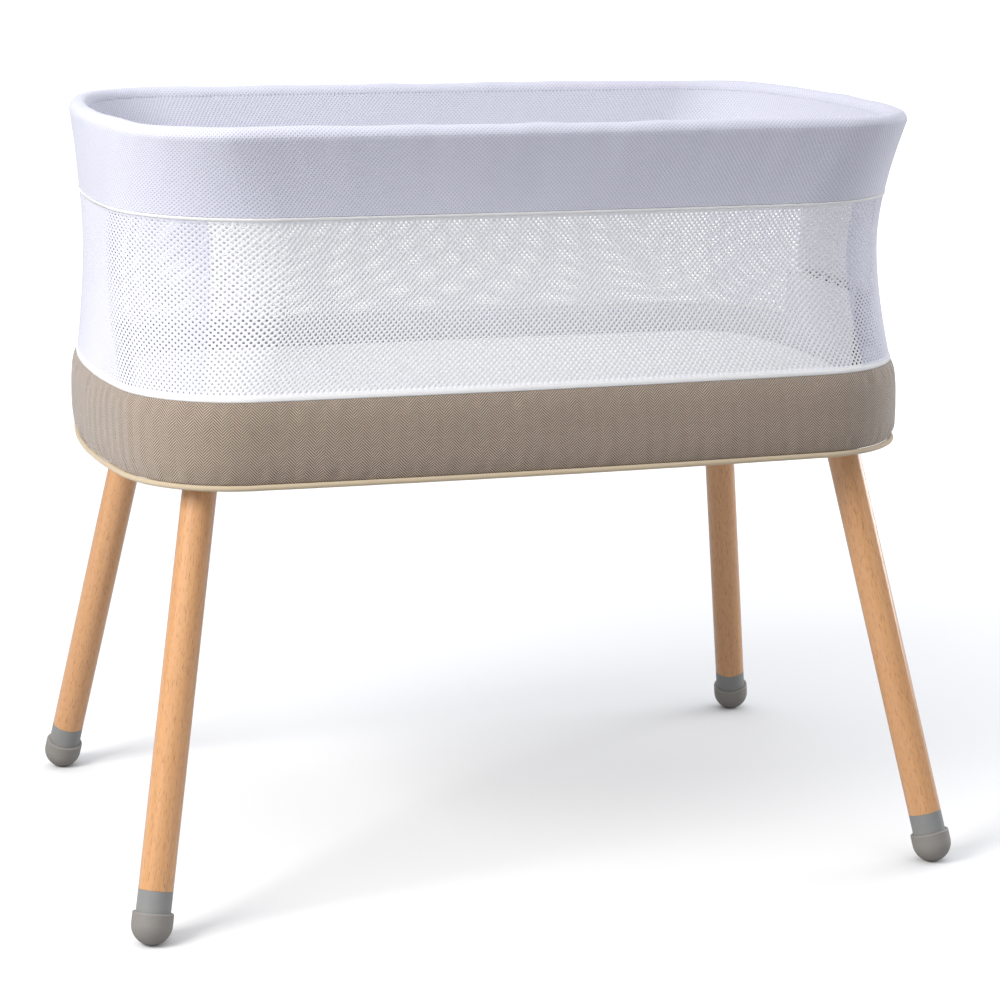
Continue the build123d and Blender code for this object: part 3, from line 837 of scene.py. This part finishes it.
# %% [markdown]
# ## The padded skirt
# The skirt is cloth stretched over a foam ring and sewn down at both edges. Foam under cloth has
# full shoulders and a nearly flat face, so the bulge follows a high power of the distance from the
# middle, not a circle. Between stitches the cloth gathers: small upright puckers that are deepest at
# the seams and gone half-way up.

# %% Padded skirt
SKIRT_LOW_Z = 0.4484
SKIRT_BULGE = 0.0063
SHOULDER_POWER = 3.4
SKIRT_STEPS = HERRING_COLUMNS * 3
SKIRT_ROWS = 25
TRAY_WALL_IN = 0.015


def skirt_section():
    # rows crowd towards both seams, where the shoulder turns fastest
    share = 0.5 - 0.5 * np.cos(np.linspace(0, math.pi, SKIRT_ROWS))
    bulge = SKIRT_BULGE * (1 - np.abs(2 * share - 1) ** SHOULDER_POWER)
    outer_sizes = SKIRT_FOOT + share[:, None] * (SKIRT_HEAD - SKIRT_FOOT)
    heights = SKIRT_LOW_Z + (SKIRT_HEAD_Z - SKIRT_LOW_Z) * share
    inside_heights = np.array([SKIRT_HEAD_Z, SKIRT_LOW_Z])
    sizes = np.concatenate([outer_sizes, np.broadcast_to(TRAY, (2, 3))])
    insets = np.concatenate([-bulge, np.full(2, TRAY_WALL_IN)])
    return sizes, insets, np.concatenate([heights, inside_heights])


def skirt_puckers(loop, heights):
    share = np.clip((heights - SKIRT_LOW_Z) / (SKIRT_HEAD_Z - SKIRT_LOW_Z), 0, 1)
    from_seam = np.minimum(share, 1 - share)
    near = np.exp(-(((from_seam - 0.10) / 0.09) ** 2)) * np.clip(from_seam * 20, 0, 1)
    upper = swell(11, (61, 74, 97, 131, 170), 1.0)(loop)
    lower = swell(12, (57, 83, 101, 127, 163), 1.0)(loop)
    slow = swell(13, (5, 9, 14, 23), 1.0)(loop)
    pucker = np.where(share > 0.5, upper, lower)
    face = np.sin(math.pi * share)
    outside = np.arange(loop.shape[1])[None, :] < SKIRT_ROWS
    return outside * (0.0016 * near * pucker + 0.0011 * face * slow)


skirt = ring("padded_skirt", HERRINGBONE, skirt_section(), SKIRT_STEPS, wave=skirt_puckers)
belongs(skirt, "herringbone_cloth", "skirt_cover", "skirt_padding")
print("skirt", len(skirt.data.polygons), "faces")

# %% [markdown]
# ## The band over the rim
# One strip of spacer mesh is sewn to the net, runs up the outside, rolls over the foam-covered rim
# tube and ends inside, where the lining takes over. It is springy, so the roll is not a perfect
# half circle: it sits fuller in some places than in others.

# %% Band and lining
BAND_LOW_Z = 0.7087
BAND_THICK = 0.0025
ROLL_RADIUS = 0.010
BAND_STEPS = 880


def band_path(depth, upright_rows, roll_rows):
    """The band's line at a depth under its outer face: up the wall, then over the roll."""
    heights = np.linspace(BAND_LOW_Z, RIM_Z, upright_rows, endpoint=False)
    heights = np.insert(heights, 1, BAND_LOW_Z + CREASE)
    turn = np.linspace(0, math.pi, roll_rows)
    turn = np.insert(turn, -1, math.pi - CREASE / ROLL_RADIUS)
    upright_rows, roll_rows = len(heights), len(turn)
    radius = ROLL_RADIUS - depth
    sizes = np.concatenate([wall_size(heights), np.broadcast_to(RIM, (roll_rows, 3))])
    insets = np.concatenate([np.full(upright_rows, depth), ROLL_RADIUS - radius * np.cos(turn)])
    return sizes, insets, np.concatenate([heights, RIM_Z + radius * np.sin(turn)])


def folded(path_out, path_in):
    """Joins an outer line and an inner line into one closed cross-section."""
    return tuple(np.concatenate([out, back[::-1]]) for out, back in zip(path_out, path_in))


def band_swell(loop, heights):
    high = np.clip((heights - BAND_LOW_Z) / (RIM_Z - BAND_LOW_Z), 0, 1)
    slow = swell(21, (3, 6, 11, 17), 1.0)(loop)
    quick = swell(22, (29, 41, 67), 1.0)(loop)
    return 0.0012 * np.sin(math.pi * np.minimum(high, 0.98)) * slow + 0.0004 * high * quick


def add_rim_lift(piece):
    """Raises and lowers the top of the roll a little as it goes round."""
    count = len(piece.data.vertices)
    points = np.zeros(count * 3)
    piece.data.vertices.foreach_get("co", points)
    points = points.reshape(-1, 3)
    angle = np.arctan2(points[:, 1], points[:, 0]) / (2 * math.pi)
    height = np.clip((points[:, 2] - RIM_Z) / 0.01, 0, 1)
    points[:, 2] += height * swell(23, (4, 9, 15, 26), 0.0012)(angle)
    piece.data.vertices.foreach_set("co", points.ravel())
    piece.data.update()


band_section = folded(band_path(0.0, 20, 15), band_path(BAND_THICK, 8, 9))
band = ring("rolled_band", SPACER_MESH, band_section, BAND_STEPS, wave=band_swell)
add_rim_lift(band)
BAND_PANELS = ["top_band_" + wall for wall in NET_SPANS]
belongs(band, "spacer_mesh", *BAND_PANELS, "rim_foam")

LINING_HEAD = RIM - 2 * ROLL_RADIUS + 0.0015
LINING_FOOT = np.array([0.4105, 0.2215, 0.148])
LINING_TOP_Z = RIM_Z - 0.0001


def lining_size(z):
    share = np.clip((z - BAND_LOW_Z) / (RIM_Z - BAND_LOW_Z), 0, 1)[..., None]
    return LINING_FOOT + share * (LINING_HEAD - LINING_FOOT)


lining_strip = belt(BAND_LOW_Z, LINING_TOP_Z, 0.0, 0.0015, rows=9, sizes_at=lining_size)
lining = ring("rim_lining", SPACER_MESH, lining_strip, BAND_STEPS // 2)
belongs(lining, "spacer_mesh", "band_lining")

# %% [markdown]
# ## Inside the basket
# White cloth lines the tray wall, and a sleeve at each end hides the two uprights. The sleeve is a
# flat tube of cloth: it lies close to the net, and stands proud only where an upright runs in it.

# %% Tray liner and end sleeves
LINER_LOW_Z = 0.4793
LEDGE_Z = 0.5296
LEDGE_INSET = 0.0023
LINER_INSET = 0.01525
LINER_THICK = 0.0008


def liner_path(depth):
    """Up the inside of the tray wall, round a soft corner, and out over the skirt's top."""
    up = np.linspace(LINER_LOW_Z, LEDGE_Z - 0.002, 6)
    turn = np.linspace(0, math.pi / 2, 4)
    soft = 0.0015 + depth
    corner = LINER_INSET - 0.0015 + soft * np.cos(turn)
    corner_z = LEDGE_Z - 0.0015 + soft * np.sin(turn)
    out = np.linspace(LINER_INSET - 0.004, LEDGE_INSET, 4)
    ledge = TRAY + [[0.25], [0.5], [0.75], [1.0]] * (SKIRT_HEAD - TRAY)
    sizes = np.concatenate([np.broadcast_to(TRAY, (10, 3)), ledge])
    insets = np.concatenate([np.full(6, LINER_INSET + depth), corner, out])
    return sizes, insets, np.concatenate([up, corner_z, np.full(4, LEDGE_Z + depth)])


liner = ring("tray_wall_liner", LINING_CLOTH, folded(liner_path(0.0), liner_path(LINER_THICK)), TRIM_STEPS)
belongs(liner, "lining_cloth", "tray_liner")

SLEEVE_LOW_Z, SLEEVE_HIGH_Z = 0.5912, 0.7013
SLEEVE_HALF = 0.094
SLEEVE_INSET = 0.0028
POST_Y = 0.070
SLEEVE_STEPS = 76
SLEEVE_ROWS = 24


def sleeve(name, middle):
    half = loop_reach(SLEEVE_HALF, WAIST, SLEEVE_INSET)
    up = np.linspace(SLEEVE_LOW_Z, SLEEVE_HIGH_Z, SLEEVE_ROWS)
    heights = np.concatenate([up, up[::-1]])
    insets = np.concatenate([np.full(SLEEVE_ROWS, SLEEVE_INSET), np.full(SLEEVE_ROWS, 0.0050)])
    post = loop_reach(POST_Y, WAIST, SLEEVE_INSET)

    def round_posts(loop, levels):
        from_middle = np.abs(loop - middle)
        near = np.exp(-(((from_middle - post) * GIRTH / 0.013) ** 2))
        edge = np.clip((half - from_middle) / half * 8, 0, 1)
        crease = swell(31, (180, 260, 410), 0.0010)(loop + levels * 0.2)
        inside = np.arange(loop.shape[1])[None, :] >= SLEEVE_ROWS
        return -1.0 * inside * (0.0105 * near + 0.0015 + crease) * edge

    section = (np.broadcast_to(WAIST, (len(heights), 3)), insets, heights)
    span = (middle - half, middle + half)
    piece = ring(name, LINING_CLOTH, section, SLEEVE_STEPS, span=span, wave=round_posts)
    return piece


belongs(sleeve("upright_sleeve_right", 0.0), "lining_cloth", "end_sleeve_right")
belongs(sleeve("upright_sleeve_left", 0.5), "lining_cloth", "end_sleeve_left")

FLAP_LOW_Z, FLAP_HIGH_Z = 0.4793, 0.5903
FLAP_HALF = 0.092
FLAP_INSET = 0.0283


def bracket_flap(name, middle):
    half = loop_reach(FLAP_HALF, TRAY, FLAP_INSET)
    up = np.linspace(FLAP_LOW_Z, FLAP_HIGH_Z, SLEEVE_ROWS)
    heights = np.concatenate([up, up[::-1]])
    insets = np.concatenate([np.full(SLEEVE_ROWS, FLAP_INSET), np.full(SLEEVE_ROWS, FLAP_INSET + 0.0009)])

    def hang(loop, levels):
        low = np.clip((FLAP_HIGH_Z - levels) / (FLAP_HIGH_Z - FLAP_LOW_Z), 0, 1)
        return -0.0009 * low * (1 + swell(33, (60, 95, 140), 1.0)(loop))

    section = (np.broadcast_to(TRAY, (len(heights), 3)), insets, heights)
    piece = ring(name, LINING_CLOTH, section, SLEEVE_STEPS, span=(middle - half, middle + half), wave=hang)
    return piece


flap_right = bracket_flap("bracket_flap_right", 0.0)
flap_left = bracket_flap("bracket_flap_left", 0.5)
belongs(flap_right, "lining_cloth", "bracket_cover_right")
belongs(flap_left, "lining_cloth", "bracket_cover_left")
print("liner, sleeves and flaps done")

# %% [markdown]
# ## The mattress
# A thin foam pad in a fitted sheet. We start from a slightly smaller block with rounded corners,
# remesh it evenly, and let the cloth solver blow it up a little, the way a sheet pulled over foam
# crowns in the middle and tightens at the edges.

# %% Mattress
MATTRESS_INSET = 0.0335
MATTRESS_LOW_Z = 0.4797
MATTRESS_HIGH_Z = 0.5085
MATTRESS_EDGE = 0.010
MATTRESS_SHRINK = 0.0012
PUFF_CAP = 0.0011


def mattress_section(shrink):
    turn = np.linspace(0, math.pi / 2, 6)
    low, high = MATTRESS_LOW_Z, MATTRESS_HIGH_Z - shrink
    edge = MATTRESS_EDGE - shrink
    inset = MATTRESS_INSET + shrink
    foot = np.array([inset + 0.003, inset + 0.0008, inset])
    foot_z = np.array([low, low + 0.0008, low + 0.003])
    shoulder = inset + edge * (1 - np.cos(turn))
    shoulder_z = high - edge + edge * np.sin(turn)
    crown = inset + np.array([0.02, 0.04, 0.06, 0.08])
    crown_z = high + 0.0005 * np.array([0.8, 1.4, 1.8, 2.0])
    insets = np.concatenate([foot, shoulder, crown])
    heights = np.concatenate([foot_z, shoulder_z, crown_z])
    return np.broadcast_to(TRAY, (len(insets), 3)), insets, heights


def block_of_foam(shrink):
    block = ring("mattress_cover", SHEET_CLOTH, mattress_section(shrink), 160, closed=False)
    shape = bmesh.new()
    shape.from_mesh(block.data)
    rims = [edge for edge in shape.edges if edge.is_boundary]
    bmesh.ops.holes_fill(shape, edges=rims)
    shape.to_mesh(block.data)
    shape.free()
    return block


def vertex_places(piece):
    places = np.zeros(len(piece.data.vertices) * 3)
    piece.data.vertices.foreach_get("co", places)
    return places.reshape(-1, 3)


def puff(piece):
    """Blows the sheet up on its foam with the cloth solver, and keeps it within its space."""
    bpy.context.view_layer.objects.active = piece
    even = piece.modifiers.new("even", "REMESH")
    even.mode = "VOXEL"
    even.voxel_size = 0.006
    even.use_smooth_shade = True
    bpy.ops.object.modifier_apply(modifier="even")
    rest = vertex_places(piece)
    resting = np.flatnonzero(rest[:, 2] < MATTRESS_LOW_Z + 0.005)
    group = piece.vertex_groups.new(name="on_board")
    group.add(resting.tolist(), 1.0, "REPLACE")
    sheet = piece.modifiers.new("sheet", "CLOTH")
    sheet.settings.quality = 5
    sheet.settings.mass = 0.3
    sheet.settings.tension_stiffness = 20
    sheet.settings.compression_stiffness = 20
    sheet.settings.bending_stiffness = 1
    sheet.settings.use_pressure = True
    sheet.settings.uniform_pressure_force = 4
    sheet.settings.effector_weights.gravity = 0
    sheet.settings.vertex_group_mass = "on_board"
    sheet.point_cache.frame_start = 1
    sheet.point_cache.frame_end = 20
    for frame in range(1, 21):
        bpy.context.scene.frame_set(frame)
    bpy.ops.object.modifier_apply(modifier="sheet")
    move = vertex_places(piece) - rest
    far = np.linalg.norm(move, axis=1)
    print("mattress moved up to", round(float(far.max()) * 1000, 2), "mm before the cap")
    move *= np.minimum(1.0, PUFF_CAP / np.maximum(far, 1e-9))[:, None]
    piece.data.vertices.foreach_set("co", (rest + move).ravel())
    piece.data.update()
    smooth = piece.modifiers.new("smooth", "SUBSURF")
    smooth.levels = 1
    bpy.ops.object.modifier_apply(modifier="smooth")
    bpy.context.scene.frame_set(1)


mattress = block_of_foam(MATTRESS_SHRINK)
puff(mattress)
belongs(mattress, "sheet_cloth", "fitted_sheet", "mattress_pad", body="mattress")
print("mattress", len(mattress.data.polygons), "faces")

# %% [markdown]
# ## Under the board
# A light nonwoven cloth is stapled under the tray to keep dust out. It has a round hole for each
# leg, and hangs a few millimetres lower in the middle. A flat outline with four holes is filled with
# triangles by Delaunay's rule, which keeps them as even as possible.

# %% Dust cloth
DUST_Z = 0.4459
DUST_INSET = 0.0052
DUST_SAG = 0.0012
LEG_HOLE = 0.0200


def dust_outline(count):
    loops = np.arange(count) / count
    x, y, _, _ = outline(loops, TRAY, DUST_INSET)
    return list(zip(x, y))


def leg_hole(flip_x, flip_y, count=28):
    axis = Vector(leg_axis(flip_x, flip_y))
    foot = Vector((flip_x * LEG_FOOT[0], flip_y * LEG_FOOT[1], 0))
    centre = foot + axis * (DUST_Z / axis.z)
    turn = np.arange(count) * 2 * math.pi / count
    return [(centre.x + LEG_HOLE * math.cos(t), centre.y + LEG_HOLE * math.sin(t)) for t in turn]


def dust_cloth_sheet():
    edge = dust_outline(240)
    holes = [leg_hole(*flips) for flips in CORNERS.values()]
    grid_x, grid_y = np.meshgrid(np.arange(-0.42, 0.421, 0.012), np.arange(-0.23, 0.231, 0.012))
    inner = []
    for x, y in zip(grid_x.ravel(), grid_y.ravel()):
        clear = all(math.dist((x, y), np.mean(hole, 0)) > LEG_HOLE + 0.005 for hole in holes)
        if clear and inside_outline(x, y, 0.006):
            inner.append((x, y))
    rings = [list(range(len(edge)))]
    places = list(edge)
    for hole in holes:
        rings.append(list(range(len(places), len(places) + len(hole))))
        places += hole
    places += inner
    # keep type 3: faces between the outline and the holes, never inside a hole
    found = geometry.delaunay_2d_cdt([Vector(p) for p in places], [], rings, 3, 1e-6)
    flat_points, faces = found[0], found[2]
    return np.array([tuple(p) for p in flat_points]), faces


def inside_outline(x, y, margin):
    loops = np.linspace(0, 0.25, 400)
    edge_x, edge_y, _, _ = outline(loops, TRAY, DUST_INSET + margin)
    reach = np.interp(abs(y), edge_y, edge_x)
    return abs(y) < edge_y.max() and abs(x) < reach


flat_points, faces = dust_cloth_sheet()
sag = DUST_SAG * (1 - (flat_points[:, 0] / 0.43) ** 2) * (1 - (flat_points[:, 1] / 0.24) ** 2)
sag += 0.0003 * np.sin(flat_points[:, 0] * 90) * np.sin(flat_points[:, 1] * 130 + 1)
points = np.column_stack([flat_points, DUST_Z - np.clip(sag, -0.0002, None)])
mesh = bpy.data.meshes.new("dust_cover_cloth")
mesh.from_pydata(points.tolist(), [], [tuple(reversed(face)) for face in faces])
mesh.materials.append(DUST_CLOTH)
mesh.polygons.foreach_set("use_smooth", np.full(len(mesh.polygons), True))
dust = bpy.data.objects.new("dust_cover_cloth", mesh)
bpy.context.scene.collection.objects.link(dust)
belongs(dust, "dust_cloth", "dust_cover")

# %% [markdown]
# ## Floor and light
# The room is a white studio: a bright ceiling that fades towards the horizon, and one large soft
# lamp to the left. The band leans outwards, so its face looks down at the floor and away from the
# lamp: that is why it is greyer than the left end. A real floor this white would throw so much
# light back up that every shaded face would glow. Photographers stop that with black cards. Here
# the floor is white to the camera and darker to the light that bounces off it.

# %% Floor and light
FLOOR_SIZE = 60.0
CEILING = 1.33
HORIZON = 0.13


class Room(Recipe):
    """A recipe for the world instead of a surface."""

    def __init__(self, name):
        self.world = bpy.data.worlds.new(name)
        self.world.use_nodes = True
        self.tree = self.world.node_tree
        self.shader = self.tree.nodes["Background"]


def seen_by_camera(recipe):
    return recipe.node("ShaderNodeLightPath", {}, {}, "Is Camera Ray")


def studio_floor():
    recipe = Recipe("studio_floor", 0.9)
    seen = seen_by_camera(recipe)
    recipe.set("Base Color", recipe.mix(seen, (0.46, 0.46, 0.47, 1.0), (0.92, 0.92, 0.92, 1.0)))
    distance = recipe.node("ShaderNodeVectorMath", {"operation": "LENGTH"}, {0: recipe.body_place()}, 1)
    far = seen * distance.above(2.2, 1.4)
    recipe.set("Emission Color", recipe.mix(far, (0.0, 0.0, 0.0, 1.0), (0.5, 0.5, 0.5, 1.0)))
    recipe.set("Emission Strength", 1.0)
    reach = FLOOR_SIZE / 2
    corners = np.array([(-reach, -reach, 0), (reach, -reach, 0), (reach, reach, 0), (-reach, reach, 0)])
    maps = np.array([(0, 0), (1, 0), (1, 1), (0, 1)], float)
    floor = new_piece("studio_floor", corners, [[0, 1, 2, 3]], maps, recipe.material)


def studio_room():
    room = Room("studio_room")
    _, _, height = room.split(room.node("ShaderNodeTexCoord", {}, {}, "Generated"))
    glow = height.maths("MAXIMUM", height, 0.0) * (CEILING - HORIZON) + HORIZON
    seen = seen_by_camera(room)
    room.set("Strength", glow * (1.0 - seen) + seen)
    room.set("Color", room.mix(seen, (0.94, 0.96, 1.0, 1.0), (1.0, 1.0, 1.0, 1.0)))
    bpy.context.scene.world = room.world


def area_light(name, place, target, size, power, colour):
    data = bpy.data.lights.new(name, "AREA")
    data.shape = "RECTANGLE"
    data.size, data.size_y = size
    data.energy = power
    data.color = colour
    light = bpy.data.objects.new(name, data)
    light.location = place
    light.rotation_euler = (Vector(target) - Vector(place)).to_track_quat("-Z", "Y").to_euler()
    bpy.context.scene.collection.objects.link(light)


studio_floor()
studio_room()
area_light("window", (-2.2, -0.95, 1.9), (0, 0, 0.5), (1.2, 1.2), 58, (1.0, 0.985, 0.965))
area_light("white_card", (3.2, 0.7, 0.9), (0.3, 0, 0.5), (1.8, 1.4), 38, (0.98, 0.99, 1.0))
bpy.context.scene.view_settings.view_transform = "Standard"
print("lights", len(bpy.data.lights))

# %% [markdown]
# ## The last update
# Cloth may stand a little proud of the fixed model, and no more. Last, the scene is brought up to date.

# %% Size
bpy.context.view_layer.update()
